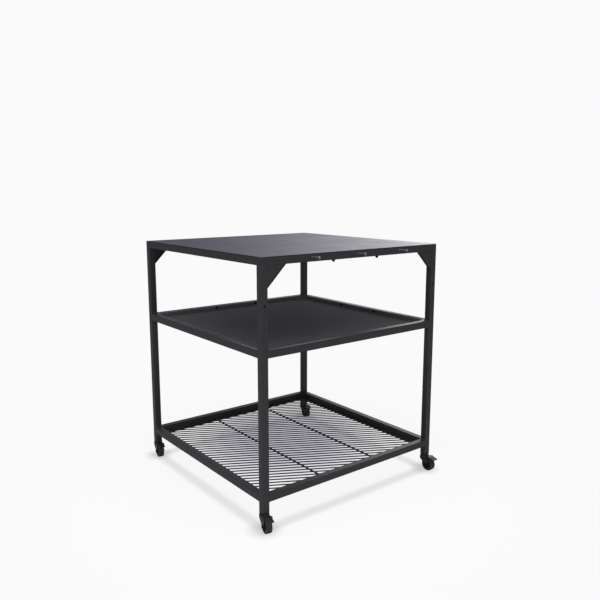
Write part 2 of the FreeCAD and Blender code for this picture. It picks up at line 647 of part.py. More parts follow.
def caster_fork(label):
    """The stamped fork: ball race housing, crown with a turned nose, and two cheeks down to the axle."""
    body = new_body(label)
    half, tail = "fork_boss / 2", f"({PIN_X} + fork_tail)"
    side = [("-fork_nose", CROWN_TOP), (tail, CROWN_TOP), (tail, f"{PIN_Z} - fork_tail"),
            (f"caster_trail + {half}", "wheel_size / 2"), (f"caster_trail - {half}", "wheel_size / 2"),
            ("-fork_nose", f"{CROWN_LOW} - fork_nose_drop")]
    block = grow(body, "XZ", f"-{FORK_OUT}", f"2 * {FORK_OUT}", [side])
    nose, top = number("-fork_nose") + 1e-3, level_at(number(CROWN_TOP))
    round_off(body, block, "fork_bend",
              lambda edge: (top(edge) and edge.BoundBox.XMin < nose)
              or (runs_up(edge) and edge.BoundBox.XMax < nose))
    inner, crown_end = "(fork_sheet - fork_nose)", "race_width / 2"
    inside = [(inner, "0"), (f"{tail} + fork_tail", "0"), (f"{tail} + fork_tail", RACE_TOP),
              (crown_end, RACE_TOP), (crown_end, CROWN_LOW), (inner, CROWN_LOW)]
    cut(body, "XZ", "-fork_gap / 2", "fork_gap", [inside])
    round_ends = [("caster_trail", "wheel_size / 2", "fork_boss"), (PIN_X, PIN_Z, "fork_ear")]
    for start in ("fork_gap / 2", f"-{FORK_OUT}"):
        grow(body, "XZ", start, "fork_sheet", circles=round_ends)
    race = grow(body, "XY", CROWN_LOW, "fork_sheet + race_height", circles=[("0", "0", "race_width")])
    round_off(body, race, "race_round", level_at(number(RACE_TOP)))
    cut(body, "XY", "0", f"2 * {FOOT}", circles=[("0", "0", "stem_thick + run_fit")])
    holes = [("caster_trail", "wheel_size / 2", "axle_thick + run_fit"),
             (PIN_X, PIN_Z, "pin_thick + run_fit")]
    cut(body, "XZ", f"-2 * {FORK_OUT}", f"4 * {FORK_OUT}", circles=holes)
    return body


def caster_pins(label):
    """The wheel's axle and the lever's pin, each with a head on either side of the fork."""
    body = new_body(label)
    axle = ("caster_trail", "wheel_size / 2")
    pin = (PIN_X, PIN_Z)
    for (x, z), thick, head, height in ((axle, "axle_thick", "axle_head", "axle_head_height"),
                                        (pin, "pin_thick", "pin_head", "pin_head_height")):
        grow(body, "XZ", f"-{FORK_OUT}", f"2 * {FORK_OUT}", circles=[(x, z, thick)])
        grow(body, "XZ", FORK_OUT, height, circles=[(x, z, head)])
        grow(body, "XZ", f"-{FORK_OUT} - {height}", height, circles=[(x, z, head)])
    return body


def caster_hub(label):
    """A moulded hub: boss, web, rim, and ribs on both faces of the web."""
    body = new_body(label)
    bore, boss = "(axle_thick + run_fit) / 2", "hub_boss / 2"
    rim = "(wheel_size / 2 - tyre_thick)"
    rim_in = f"({rim} - hub_rim)"
    side, web, end = "wheel_width / 2", "hub_web / 2", "(fork_gap / 2 - hub_side_gap)"
    outline = [(bore, f"-{end}"), (boss, f"-{end}"), (boss, f"-{web}"), (rim_in, f"-{web}"),
               (rim_in, f"-{side}"), (rim, f"-{side}"), (rim, side), (rim_in, side),
               (rim_in, web), (boss, web), (boss, end), (bore, end)]
    spin(body, "XY", "wheel_size / 2", outline, shift="caster_trail")
    ribs = [rib(f"{step * 360 / HUB_RIBS}", f"({boss} - hub_rim / 2)", f"({rim_in} + hub_rim / 2)")
            for step in range(HUB_RIBS)]
    deep = "(wheel_width / 2 - hub_rib_inset)"
    grow(body, "XZ", f"-{deep}", f"2 * {deep}", ribs)
    return body


def rib(angle, near, far):
    """The outline of a hub's rib: a bar at an angle round the axle, between two radii."""
    half = "hub_rib / 2"
    return [(f"caster_trail + {away} * cos({angle}) - {sway} * {half} * sin({angle})",
             f"wheel_size / 2 + {away} * sin({angle}) + {sway} * {half} * cos({angle})")
            for away, sway in ((near, -1), (far, -1), (far, 1), (near, 1))]


def caster_tyre(label):
    body = new_body(label)
    rim, tread, side = "(wheel_size / 2 - tyre_thick)", "wheel_size / 2", "wheel_width / 2"
    outline = [(rim, f"-{side}"), (tread, f"-{side}"), (tread, side), (rim, side)]
    ring = spin(body, "XY", "wheel_size / 2", outline, shift="caster_trail")
    round_off(body, ring, "tyre_shoulder", lambda edge: edge.BoundBox.ZLength > number("wheel_size") - 1e-3)
    return body


def caster_lever(label):
    """The brake lever: a humped pedal with a boss on its pin and a shoe above the tyre."""
    body = new_body(label)
    nose, half = "(race_width / 2 + lever_gap)", "lever_boss / 2"
    back, tip = f"({PIN_Z} + lever_hump)", f"({PIN_Z} - lever_fall)"
    pedal = [(f"{PIN_X} - {half}", PIN_Z), (nose, f"{CROWN_TOP} + run_gap"), (nose, back),
             (f"{PIN_X} + {half}", back), ("lever_reach", tip), ("lever_reach", f"{tip} - lever_tip"),
             (f"{PIN_X} + {half}", f"{PIN_Z} - {half}")]
    block = grow(body, "XZ", "-lever_width / 2", "lever_width", [pedal])
    width, low = number("lever_width") - 1e-3, number(tip) - 1e-3
    round_off(body, block, "lever_round",
              lambda edge: edge.BoundBox.YLength > width and edge.BoundBox.ZMin > low
              and edge.BoundBox.XMin > number(f"{nose} - run_gap"))
    deep = "(lever_width / 2 - lever_sheet)"
    start, end = f"{PIN_X} + {half}", "lever_reach - lever_sheet"
    inside = [(start, f"{PIN_Z} - lever_boss"), (end, f"{PIN_Z} - lever_boss"),
              (end, f"{tip} - lever_sheet"), (start, f"{back} - lever_sheet")]
    cut(body, "XZ", f"-{deep}", f"2 * {deep}", [inside])
    grow(body, "XZ", "-lever_width / 2", "lever_width", circles=[(PIN_X, PIN_Z, "lever_boss")])
    shoe = (start, f"{PIN_Z} - lever_shoe_drop", "lever_shoe")
    grow(body, "XZ", "-lever_width / 2", "lever_width", circles=[shoe])
    cut(body, "XZ", "-lever_width", "2 * lever_width", circles=[(PIN_X, PIN_Z, "pin_thick + run_fit")])
    return body


def casters():
    makers = {"stem": caster_stem, "fork": caster_fork, "pins": caster_pins,
              "hub": caster_hub, "tyre": caster_tyre, "brake_lever": caster_lever}
    for corner, (side, end) in CORNERS.items():
        for piece, maker in makers.items():
            label = f"caster_{piece}_{corner}"
            body = maker(label)
            place(body, f"{side} * {LEG_X}", f"{end} * {LEG_Y}", "0", (0, 0, 1), f"turn_{corner}")
            keep(body, label)


def check_and_write():
    """Stop on anything that failed, then write each node's shape."""
    doc.recompute()
    for thing in doc.Objects:
        if "Invalid" in thing.State or "Error" in thing.State:
            raise RuntimeError(f"{thing.Label} failed: {thing.State}")
    os.makedirs("parts", exist_ok=True)
    for thing in nodes:
        if thing.Shape.isNull() or not thing.Shape.isValid() or not thing.Shape.Solids:
            raise RuntimeError(f"{thing.Label} has no sound shape")
    for thing in nodes:
        thing.Shape.exportStep(os.path.join("parts", f"{thing.Label}.step"))
        box = thing.Shape.BoundBox
        print(f"{thing.Label}: {len(thing.Shape.Solids)} solids, {thing.Shape.Volume:.0f} mm3,",
              f"x {box.XMin:.1f} {box.XMax:.1f}, y {box.YMin:.1f} {box.YMax:.1f},",
              f"z {box.ZMin:.1f} {box.ZMax:.1f}")


fill_sheet()
for corner_name in CORNERS:
    leg(corner_name)
top_rails()
tray_rails()
base_rails()
sheet_top()
top_studs()
cap_nuts()
for peg_name, peg_step in PEG_STEPS.items():
    tool_peg(peg_name, peg_step)
for corner_name in CORNERS:
    gusset(corner_name)
tray()
rack()
rack_ledges()
tray_bolts()
leg_plugs()
casters()
check_and_write()
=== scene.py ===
"""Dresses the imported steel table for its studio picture."""
import json
import math
import random

import bmesh
import bpy
from mathutils import Matrix, Vector


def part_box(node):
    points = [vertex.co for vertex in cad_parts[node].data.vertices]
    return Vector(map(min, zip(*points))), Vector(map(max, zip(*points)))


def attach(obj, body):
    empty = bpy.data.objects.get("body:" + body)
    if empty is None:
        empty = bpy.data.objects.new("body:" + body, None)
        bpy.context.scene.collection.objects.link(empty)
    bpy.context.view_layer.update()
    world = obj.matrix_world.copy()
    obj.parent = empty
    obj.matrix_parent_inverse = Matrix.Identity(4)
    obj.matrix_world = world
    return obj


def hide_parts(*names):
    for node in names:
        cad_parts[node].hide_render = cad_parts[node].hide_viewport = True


bl_info = {
    "name": "Steel Table Looks",
    "version": (1, 1, 0),
    "blender": (4, 5, 0),
    "location": "3D View > Sidebar > Steel Table",
    "description": "Paints and details an outdoor table of square steel tube on casters",
    "category": "Object",
}

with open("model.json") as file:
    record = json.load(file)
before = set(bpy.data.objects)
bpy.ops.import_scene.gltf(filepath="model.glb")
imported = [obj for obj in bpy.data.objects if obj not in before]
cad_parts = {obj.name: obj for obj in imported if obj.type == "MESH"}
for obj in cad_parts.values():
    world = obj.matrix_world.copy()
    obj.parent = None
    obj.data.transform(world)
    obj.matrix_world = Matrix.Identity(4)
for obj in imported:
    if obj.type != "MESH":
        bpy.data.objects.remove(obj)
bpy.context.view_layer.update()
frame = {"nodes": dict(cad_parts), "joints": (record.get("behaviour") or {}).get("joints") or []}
NODES = frame["nodes"]
JOINTS = {joint["name"]: joint for joint in frame["joints"]}
CORNERS = {"front_left": (-1, -1), "front_right": (1, -1), "back_left": (-1, 1), "back_right": (1, 1)}
SIDES = {"front": (0, -1), "back": (0, 1), "left": (-1, 0), "right": (1, 0)}
LEVELS = ("top", "tray", "base")
MM = 0.001
UP = Vector((0, 0, 1))


def linear(code):
    """Turn an sRGB hex colour into linear red, green and blue."""
    parts = [int(code[i:i + 2], 16) / 255 for i in (1, 3, 5)]
    return tuple(c / 12.92 if c <= 0.04045 else ((c + 0.055) / 1.055) ** 2.4 for c in parts)


def colour(label, note, code):
    """A colour that a user can change."""
    return bpy.props.FloatVectorProperty(name=label, description=note, subtype="COLOR", size=3,
                                         min=0, max=1, default=linear(code))


def size(label, note, millimetres):
    """A length that a user can change."""
    return bpy.props.FloatProperty(name=label, description=note, subtype="DISTANCE", unit="LENGTH",
                                   min=0, default=millimetres * MM)


def share(label, note, value):
    """A plain number that a user can change."""
    return bpy.props.FloatProperty(name=label, description=note, min=0, default=value)


class TableFinish(bpy.types.PropertyGroup):
    """Colours and grain sizes of the table's finishes."""
    coat_black: colour("Coat", "Powder coat on the frame", "#252527")
    top_black: colour("Top", "Powder coat on the sheet top", "#222225")
    tray_black: colour("Tray", "Powder coat on the tray", "#404042")
    rack_black: colour("Rack", "Powder coat on the rack's wires", "#1c1c1e")
    steel_grey: colour("Steel", "Turned steel of the pegs", "#a6a6ab")
    zinc_grey: colour("Zinc", "Zinc plate on stems and studs", "#a9abb0")
    oxide_black: colour("Oxide", "Black oxide on bolts, nuts and pins", "#1f1f20")
    caster_black: colour("Caster", "Paint on the casters' pressed steel", "#1d1d1f")
    nylon_black: colour("Nylon", "Moulded nylon of hubs and plugs", "#1b1b1d")
    rubber_black: colour("Rubber", "Moulded rubber of the tyres", "#202022")
    dust_grey: colour("Dust", "Dust worn into the tread", "#4a4947")
    peel_size: size("Orange peel", "Width of the waves in a powder coat", 2.5)
    grit_size: size("Grit", "Width of the grains in a textured coat", 0.9)
    turning_pitch: size("Turning", "Spacing of the turning marks on a peg", 0.5)


class TableShapes(bpy.types.PropertyGroup):
    """Sizes of the pieces that are modelled here."""
    weld_leg: size("Weld", "Side of a fillet weld between two tubes", 2.8)
    weld_ripple: size("Ripple", "Spacing of the ripples in a weld", 1.5)
    stitch: size("Stitch", "Length of the stitch welds on gussets and flat bars", 18)
    gusset_inset: size("Gusset inset", "Outer face of a leg to the inner face of a gusset's web", 4)
    tube_corner: size("Tube corner", "Outer corner radius of the square tube", 2)
    tray_sheet: size("Tray sheet", "Thickness of the tray's sheet", 1.5)
    tray_bend: size("Tray bend", "Middle radius of the bend at the tray's rim", 2.75)
    tray_foot_bend: size("Tray floor bend", "Middle radius of the bend at the tray's floor", 2.25)
    tray_depth: size("Tray depth", "Rim to floor of the tray", 16)
    tray_cut: size("Tray corner", "Side of the cut corners of the tray's well", 15)
    tray_notch: size("Tray notch", "Gap between the tray and the legs", 0.5)
    wire_thick: size("Wire", "Diameter of the rack's wires", 4.6)
    wire_pitch: size("Wire spacing", "Spacing of the rack's wires, square to them", 21.9)
    wire_start: size("First wire", "Front left corner to the line of the first wire, square to it", 18.1)
    wire_angle: bpy.props.FloatProperty(name="Wire slant", description="Slant of the wires to the front rail",
                                        subtype="ANGLE", default=math.radians(29.6))
    rod_thick: size("Rod", "Diameter of the rods that carry the wires", 6)
    rod_pitch: size("Rod spacing", "Spacing of the two rods", 254)
    wire_bow: size("Bow", "Largest bow of a wire between the rails", 0.25)
    nugget: size("Nugget", "Width of the spot welds on the rack", 5)
    tyre_depth: size("Tyre", "Thickness of a tyre", 6)
    tyre_shoulder: size("Shoulder", "Rounding of a tyre's shoulders", 2.2)
    tyre_groove: size("Groove", "Depth of the grooves in the tread", 0.45)
    seam_reach: size("Seam", "Swivel axis to the rolled seam of a ball race housing", 16.3)
    seam_drop: size("Seam drop", "Top of the housing to its rolled seam", 0.9)
    seam_bead: size("Seam bead", "Radius of the rolled seam", 0.55)
    grip_first: size("First grip", "Swivel axis to the first ridge on a brake lever", 35.5)
    grip_step: size("Grip step", "Spacing of the ridges on a brake lever", 3.6)
    grip_half: size("Grip length", "Half the length of a ridge on a brake lever", 8.6)
    edge_round: size("Edges", "Rounding of cut sheet edges under the coat", 0.35)


class StudioSetup(bpy.types.PropertyGroup):
    """Where the camera stands, and how the studio is lit."""
    camera_x: size("Camera X", "Camera to the left of the origin", 1499)
    camera_y: size("Camera Y", "Camera in front of the origin", 1980.4)
    camera_z: size("Camera height", "Camera above the floor", 1095.3)
    camera_turn: bpy.props.FloatProperty(name="Turn", description="Camera's heading, from +Y towards +X",
                                         subtype="ANGLE", default=math.radians(37.98))
    camera_dip: bpy.props.FloatProperty(name="Dip", description="Camera's tilt below the level",
                                        subtype="ANGLE", default=math.radians(9.69))
    camera_lens: bpy.props.FloatProperty(name="Lens", description="Focal length on a 36 mm wide sensor",
                                         subtype="DISTANCE_CAMERA", default=38.8)
    backdrop: colour("Backdrop", "Colour that the camera sees behind the table", "#fafafb")
    cool_end: colour("Cool end", "Tint of the backdrop's dim left end in reflections", "#efe9ff")
    floor_reach: size("Floor", "Side of the floor", 60000)
    fade_from: size("Fade start", "Distance at which the floor starts to fade into the backdrop", 500)
    fade_to: size("Fade end", "Distance at which the floor is all backdrop", 1200)
    floor_glow: share("Floor glow", "How much of the floor near the table is plain backdrop", 0.93)
    # The shades on the floor set here are painted into its glow.
    shade_width: size("Rail shade", "Half width of the soft shade below the base rails", 38)
    shade_depth: share("Rail shade depth", "How dark the shade below the base rails is", 0.19)
    spot_width: size("Contact shade", "Reach of the soft shade round each caster", 75)
    spot_depth: share("Contact shade depth", "How dark the shade round each caster is", 0.24)
    under_depth: share("Shelf shade", "How dark the shade of the shelves on the floor is", 0.25)
    under_reach: size("Shelf shade reach", "Radius at which the shelves' shade has faded out", 460)
    under_right: size("Shelf shade right", "How far the shelves' shade falls to the right", 130)
    under_back: size("Shelf shade back", "How far the shelves' shade falls to the back", 180)
    under_tint: colour("Shelf shade tint", "Tint of the shelves' shade on the floor", "#f0ecfb")
    floor_bounce: share("Floor bounce", "How much light the floor throws back onto the table", 0.4)
    sky: share("Sky", "Strength of the even light from all sides", 0.62)
    glint_front: share("Front glint", "Brightness that gloss sees on the camera's side", 0.2)
    glint_low: share("Low glint", "Brightness that gloss sees at the backdrop's left end", 0.24)
    glint_span: share("Glint span", "How much brighter gloss sees its right end", 1.62)


# Materials.
def node(tree, kind, inputs=None, **settings):
    """Add a node with its settings, and set or link its inputs."""
    added = tree.nodes.new(kind)
    for name, value in settings.items():
        setattr(added, name, value)
    for key, value in (inputs or {}).items():
        if isinstance(value, bpy.types.NodeSocket):
            tree.links.new(value, added.inputs[key])
        else:
            added.inputs[key].default_value = value
    return added


def blank(name):
    """An empty material, with its tree and its output."""
    material = bpy.data.materials.new(name)
    material.use_nodes = True
    material.node_tree.nodes.clear()
    output = node(material.node_tree, "ShaderNodeOutputMaterial")
    return material, material.node_tree, output


def finish_with(tree, output, shader):
    """Make a shader the material's surface."""
    tree.links.new(shader.outputs[0], output.inputs["Surface"])


def bump(tree, height, depth, under=None):
    """Turn a height from 0 to 1 into a normal, with its full depth in metres."""
    inputs = {"Height": height, "Distance": depth, "Strength": 1.0}
    if under is not None:
        inputs["Normal"] = under.outputs["Normal"]
    return node(tree, "ShaderNodeBump", inputs)


def noise(tree, spread, detail=2.0, rough=0.5, stretch=(1, 1, 1)):
    """Noise whose lumps are about so wide, in metres, over the piece's own coordinates."""
    place = node(tree, "ShaderNodeTexCoord")
    scaled = node(tree, "ShaderNodeMapping", {"Vector": place.outputs["Object"], "Scale": stretch})
    return node(tree, "ShaderNodeTexNoise", {"Vector": scaled.outputs["Vector"], "Scale": 1 / spread,
                                             "Detail": detail, "Roughness": rough})


def between(tree, value, low, high, first, last):
    """Stretch a value from one range onto another, and hold it there."""
    return node(tree, "ShaderNodeMapRange", {"Value": value, "From Min": low, "From Max": high,
                                             "To Min": first, "To Max": last})


def blend_colours(tree, factor, first, last):
    """Mix two plain colours."""
    return node(tree, "ShaderNodeMix", {"Factor": factor, "A": (*first, 1), "B": (*last, 1)},
                data_type="RGBA")


def shaded(black, times):
    """A colour made so many times as light."""
    return tuple(min(1, c * times) for c in black)


def powder_coat(name, black, finish, rough, gloss=0.5, peel_depth=0.07 * MM, grit_depth=0.016 * MM,
                scuffed=0.16):
    """Baked powder on steel: satin, with the shallow waves of orange peel under a fine grit, a tone
    that drifts a little with the coat's thickness, and a few dull handling scuffs."""
    patch_width, scuff_width = finish.peel_size * 60, finish.peel_size * 12
    drift, uneven = 0.14, 0.03
    material, tree, output = blank(name)
    waves = noise(tree, finish.peel_size, 3.0)
    grit = noise(tree, finish.grit_size, 2.0, 0.7)
    patches = noise(tree, patch_width, 3.0)
    scuffs = noise(tree, scuff_width, 6.0, 0.75, (1, 1, 0.35))
    tone = blend_colours(tree, patches.outputs["Fac"], shaded(black, 1 - drift), shaded(black, 1 + drift))
    dull = between(tree, scuffs.outputs["Fac"], 0.6, 0.72, 0.0, scuffed)
    polish = between(tree, patches.outputs["Fac"], 0.3, 0.7, rough - uneven, rough + uneven)
    mixed = node(tree, "ShaderNodeMath", {0: polish.outputs[0], 1: dull.outputs[0]}, operation="ADD",
                 use_clamp=True)
    deep = bump(tree, waves.outputs["Fac"], peel_depth)
    shape = bump(tree, grit.outputs["Fac"], grit_depth, deep)
    shader = node(tree, "ShaderNodeBsdfPrincipled",
                  {"Base Color": tone.outputs["Result"], "Roughness": mixed.outputs[0],
                   "Normal": shape.outputs["Normal"], "IOR": 1.5, "Specular IOR Level": gloss})
    finish_with(tree, output, shader)
    return material


def textured_coat(name, black, finish, rim_height):
    """Coarse textured powder coat: matt and grainy in the tray's well, and rubbed to a satin on its
    rim, where things slide over it."""
    rubbed_from, rubbed_to = rim_height - 2.5 * MM, rim_height - 0.4 * MM
    matt, satin, drift = 0.85, 0.4, 0.15
    material, tree, output = blank(name)
    grit = noise(tree, finish.grit_size * 1.6, 3.0, 0.65)
    waves = noise(tree, finish.peel_size, 3.0)
    patches = noise(tree, finish.peel_size * 50, 3.0)
    tone = blend_colours(tree, patches.outputs["Fac"], shaded(black, 1 - drift), shaded(black, 1 + drift))
    place = node(tree, "ShaderNodeTexCoord")
    axes = node(tree, "ShaderNodeSeparateXYZ", {"Vector": place.outputs["Object"]})
    on_rim = between(tree, axes.outputs["Z"], rubbed_from, rubbed_to, 0.0, 1.0)
    polish = between(tree, on_rim.outputs[0], 0.0, 1.0, matt, satin)
    body = node(tree, "ShaderNodeMix", {"Factor": on_rim.outputs[0], "A": tone.outputs["Result"],
                                        "B": (*shaded(black, 0.7), 1)}, data_type="RGBA")
    deep = bump(tree, waves.outputs["Fac"], 0.04 * MM)
    shape = bump(tree, grit.outputs["Fac"], 0.05 * MM, deep)
    shader = node(tree, "ShaderNodeBsdfPrincipled",
                  {"Base Color": body.outputs["Result"], "Roughness": polish.outputs[0],
                   "Normal": shape.outputs["Normal"], "IOR": 1.5, "Specular IOR Level": 0.5})
    finish_with(tree, output, shader)
    return material


def metal(name, grey, rough, pitch, stretch=(1, 1, 1)):
    """Bare or plated metal, with fine marks across it and a slightly uneven shine. The marks are drawn
    coarser than real ones, which would be too fine to show."""
    stained, bright = 0.85, 1.1
    material, tree, output = blank(name)
    marks = noise(tree, pitch, 2.0, 0.6, stretch)
    stains = noise(tree, pitch * 14, 3.0)
    tone = blend_colours(tree, stains.outputs["Fac"], shaded(grey, stained), shaded(grey, bright))
    polish = between(tree, marks.outputs["Fac"], 0.2, 0.8, rough - 0.06, rough + 0.08)
    shape = bump(tree, marks.outputs["Fac"], 0.02 * MM)
    shader = node(tree, "ShaderNodeBsdfPrincipled",
                  {"Base Color": tone.outputs["Result"], "Metallic": 1.0, "Roughness": polish.outputs[0],
                   "Normal": shape.outputs["Normal"]})
    finish_with(tree, output, shader)
    return material


def moulded(name, black, grain, rough, depth, dust=None):
    """Moulded nylon or rubber: matt, with the grain of its mould, drawn coarser than it is to show, and
    dust where given."""
    uneven = 0.08
    material, tree, output = blank(name)
    skin = noise(tree, grain, 4.0, 0.6)
    patches = noise(tree, grain * 12, 4.0, 0.6)
    worn = between(tree, patches.outputs["Fac"], 0.45, 0.75, 0.0, 1.0)
    tone = blend_colours(tree, worn.outputs[0], black, dust or shaded(black, 1.25))
    shape = bump(tree, skin.outputs["Fac"], depth)
    polish = between(tree, skin.outputs["Fac"], 0.2, 0.8, rough - uneven, rough + uneven)
    shader = node(tree, "ShaderNodeBsdfPrincipled",
                  {"Base Color": tone.outputs["Result"], "Roughness": polish.outputs[0],
                   "Normal": shape.outputs["Normal"], "IOR": 1.52})
    finish_with(tree, output, shader)
    return material


def dress(names, material, round_edges=0.0):
    """Give CAD pieces their material, and round their sharp edges a little where asked."""
    for name in names:
        piece = NODES[name]
        piece.data.materials.clear()
        piece.data.materials.append(material)
        if round_edges:
            soften(piece, round_edges)


def soften(piece, width):
    """Round a piece's sharp edges."""
    bevel = piece.modifiers.new("Edges", "BEVEL")
    bevel.width = width
    bevel.segments = 2
    bevel.limit_method = "ANGLE"
    bevel.angle_limit = math.radians(50)
    bevel.harden_normals = False


# Meshes.
class Shape:
    """Points and faces gathered for one mesh, in metres."""

    def __init__(self):
        self.points = []
        self.faces = []

    def sweep(self, rings, closed=False):
        """Join rings of points into a skin; a skin that isn't closed gets its ends capped."""
        first, count = len(self.points), len(rings[0])
        for ring in rings:
            self.points.extend(ring)
        for step in range(len(rings) - (0 if closed else 1)):
            near = first + step * count
            far = first + (step + 1) % len(rings) * count
            for j in range(count):
                k = (j + 1) % count
                self.faces.append((near + j, near + k, far + k, far + j))
        if not closed:
            last = first + (len(rings) - 1) * count
            self.faces.append(tuple(range(first + count - 1, first - 1, -1)))
            self.faces.append(tuple(range(last, last + count)))

    def polygon(self, points):
        """Add one flat face."""
        first = len(self.points)
        self.points.extend(points)
        self.faces.append(tuple(range(first, len(self.points))))

    def mesh(self, name, smooth_angle):
        """The mesh, joined where points meet, smooth up to an angle in degrees."""
        data = bpy.data.meshes.new(name)
        data.from_pydata([tuple(point) for point in self.points], [], self.faces)
        work = bmesh.new()
        work.from_mesh(data)
        bmesh.ops.remove_doubles(work, verts=work.verts, dist=1e-6)
        bmesh.ops.recalc_face_normals(work, faces=work.faces)
        work.to_mesh(data)
        work.free()
        data.shade_smooth()
        data.set_sharp_from_angle(angle=math.radians(smooth_angle))
        return data


def add_piece(name, shape, material, body, replaced=(), smooth_angle=40):
    """Make a shape a piece that rides on a body, and stands for CAD nodes where named."""
    mesh = shape.mesh(name, smooth_angle)
    mesh.materials.append(material)
    piece = bpy.data.objects.new(name, mesh)
    bpy.context.scene.collection.objects.link(piece)
    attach(piece, body)
    if replaced:
        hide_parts(*replaced)
    return piece


def circle(middle, across, over, radius, count):
    """Points round a circle that two unit vectors span."""
    turns = [2 * math.pi * step / count for step in range(count)]
    return [middle + radius * (math.cos(a) * across + math.sin(a) * over) for a in turns]


def fillet_weld(shape, start, end, across, over, shapes, seed):
    """A rippled fillet weld in the corner between two faces, which run from it along across and over."""
    chance = random.Random(seed)
    length = (end - start).length
    steps = max(6, round(length / (shapes.weld_ripple / 3)))
    ripple_depth, unsteady = 0.12, 0.05
    wander = [chance.uniform(-unsteady, unsteady) for _ in range(steps + 1)]
    # The root lies behind both faces. A bulge of 1 would make the weld's face round, and 2 flat.
    root, bulge, sides = -0.15, 1.5, 6
    rings = []
    for step in range(steps + 1):
        part = step / steps
        ripple = abs(math.sin(math.pi * part * length / shapes.weld_ripple))
        ends = max(0.25, 1 - abs(2 * part - 1) ** 14) ** 0.5
        leg = shapes.weld_leg * (0.9 + ripple_depth * ripple + wander[step]) * ends
        place = start.lerp(end, part)
        ring = [place + root * leg * (across + over), place + leg * across + root * leg * over]
        for side in range(sides + 1):
            angle = math.pi / 2 * side / sides
            ring.append(place + leg * (math.cos(angle) ** bulge * across + math.sin(angle) ** bulge * over))
        ring.append(place + root * leg * across + leg * over)
        rings.append(ring)
    shape.sweep(rings)


def ground_weld(shape, corner, along, inward, height, shapes):
    """The ground-off weld that fills the groove between a leg's rounded corner and a rail's end."""
    radius = shapes.tube_corner
    # Each point's place along the rail and depth into it: flush at both edges, with a faint dip between.
    profile = [(-1.15 * radius, 0.0), (-0.6 * radius, 0.05 * radius), (0.1 * radius, 0.02 * radius),
               (0.4 * radius, 0.0), (0.4 * radius, 0.4 * radius), (0, radius), (-1.15 * radius, 0.4 * radius)]
    rings = []
    for rise in (radius, height - radius):
        rings.append([corner + x * along + depth * inward + rise * UP for x, depth in profile])
    shape.sweep(rings)


# Frame.
def rail_welds(level, shapes):
    """All welds of one level's four rails with the legs and with one another."""
    shape = Shape()
    for number, (side, (turn_x, turn_y)) in enumerate(SIDES.items()):
        low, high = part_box(f"{level}_rail_{side}")
        outward = Vector((turn_x, turn_y, 0))
        along = Vector((abs(turn_y), abs(turn_x), 0))
        middle = (low + high) / 2
        half_width = abs((high - low).dot(outward)) / 2
        half_length = (high - low).dot(along) / 2
        for end in (-1, 1):
            foot = middle + end * half_length * along
            away = -end * along
            seed = 10 * number + end
            inner, outer = foot - (half_width - shapes.tube_corner) * outward, foot + half_width * outward
            for face, level_z in ((1, high.z), (-1, low.z)):
                if level == "top" and face > 0:
                    continue
                first, last = Vector((inner.x, inner.y, level_z)), Vector((outer.x, outer.y, level_z))
                last -= shapes.tube_corner * outward
                fillet_weld(shape, first, last, away, face * UP, shapes, f"{level}{seed}{face}")
            ground_weld(shape, Vector((outer.x, outer.y, low.z)), away, -outward, high.z - low.z, shapes)
    for corner, (side, end) in CORNERS.items():
        low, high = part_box(f"{level}_rail_front" if end < 0 else f"{level}_rail_back")
        across = Vector((-side, 0, 0))
        over = Vector((0, -end, 0))
        x = low.x if side < 0 else high.x
        y = high.y if end < 0 else low.y
        top = high.z - shapes.tube_corner
        fillet_weld(shape, Vector((x, y, low.z + shapes.tube_corner)), Vector((x, y, top)), across, over,
                    shapes, f"{level}{corner}")
    return shape


def gusset_welds(shapes):
    """Stitch welds between each gusset and its leg and rail, on the inner face."""
    shape = Shape()
    inset = 3 * shapes.weld_leg
    for corner, (side, end) in CORNERS.items():
        low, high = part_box(f"gusset_{corner}")
        leg_low, leg_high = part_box(f"leg_{corner}")
        y = low.y + shapes.gusset_inset if end < 0 else high.y - shapes.gusset_inset
        x = leg_high.x if side < 0 else leg_low.x
        inward, back = Vector((-side, 0, 0)), Vector((0, -end, 0))
        reach = high.x - low.x
        for start in (inset, reach - inset - shapes.stitch):
            first = Vector((x, y, high.z - start))
            fillet_weld(shape, first, first - shapes.stitch * UP, inward, back, shapes,
                        f"leg{corner}{start:.3f}")
            first = Vector((x, y, high.z)) + start * inward
            fillet_weld(shape, first, first + shapes.stitch * inward, -UP, back, shapes,
                        f"rail{corner}{start:.3f}")
    return shape


def ledge_welds(shapes):
    """Stitch welds along the outer edge of each flat bar, under its rail."""
    shape = Shape()
    for side, (turn_x, turn_y) in SIDES.items():
        low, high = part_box(f"rack_ledge_{side}")
        outward, along = Vector((turn_x, turn_y, 0)), Vector((abs(turn_y), abs(turn_x), 0))
        middle = (low + high) / 2
        edge = middle + abs((high - low).dot(outward)) / 2 * outward
        edge.z = high.z
        half = (high - low).dot(along) / 2
        for part in (-0.8, -0.4, 0, 0.4, 0.8):
            start = edge + (part * half - shapes.stitch / 2) * along
            fillet_weld(shape, start, start + shapes.stitch * along, outward, -UP, shapes,
                        f"ledge{side}{part}")
    return shape


class STEEL_TABLE_OT_frame(bpy.types.Operator):
    """Paint the legs, rails, gussets and flat bars, and add their welds"""
    bl_idname = "steel_table.frame"
    bl_label = "Frame"

    def execute(self, context):
        finish, shapes = context.scene.table_finish, context.scene.table_shapes
        coat = powder_coat("Satin black powder coat", finish.coat_black, finish, 0.42)
        names = [f"leg_{corner}" for corner in CORNERS]
        names += [f"{level}_rail_{side}" for level in LEVELS for side in SIDES]
        dress(names, coat)
        dress([f"gusset_{corner}" for corner in CORNERS], coat, shapes.edge_round)
        dress([f"rack_ledge_{side}" for side in SIDES], coat, shapes.edge_round)
        add_piece("ledge_welds", ledge_welds(shapes), coat, "frame")
        for level in LEVELS:
            add_piece(f"{level}_rail_welds", rail_welds(level, shapes), coat, "frame")
        add_piece("gusset_welds", gusset_welds(shapes), coat, "frame")
        return {"FINISHED"}


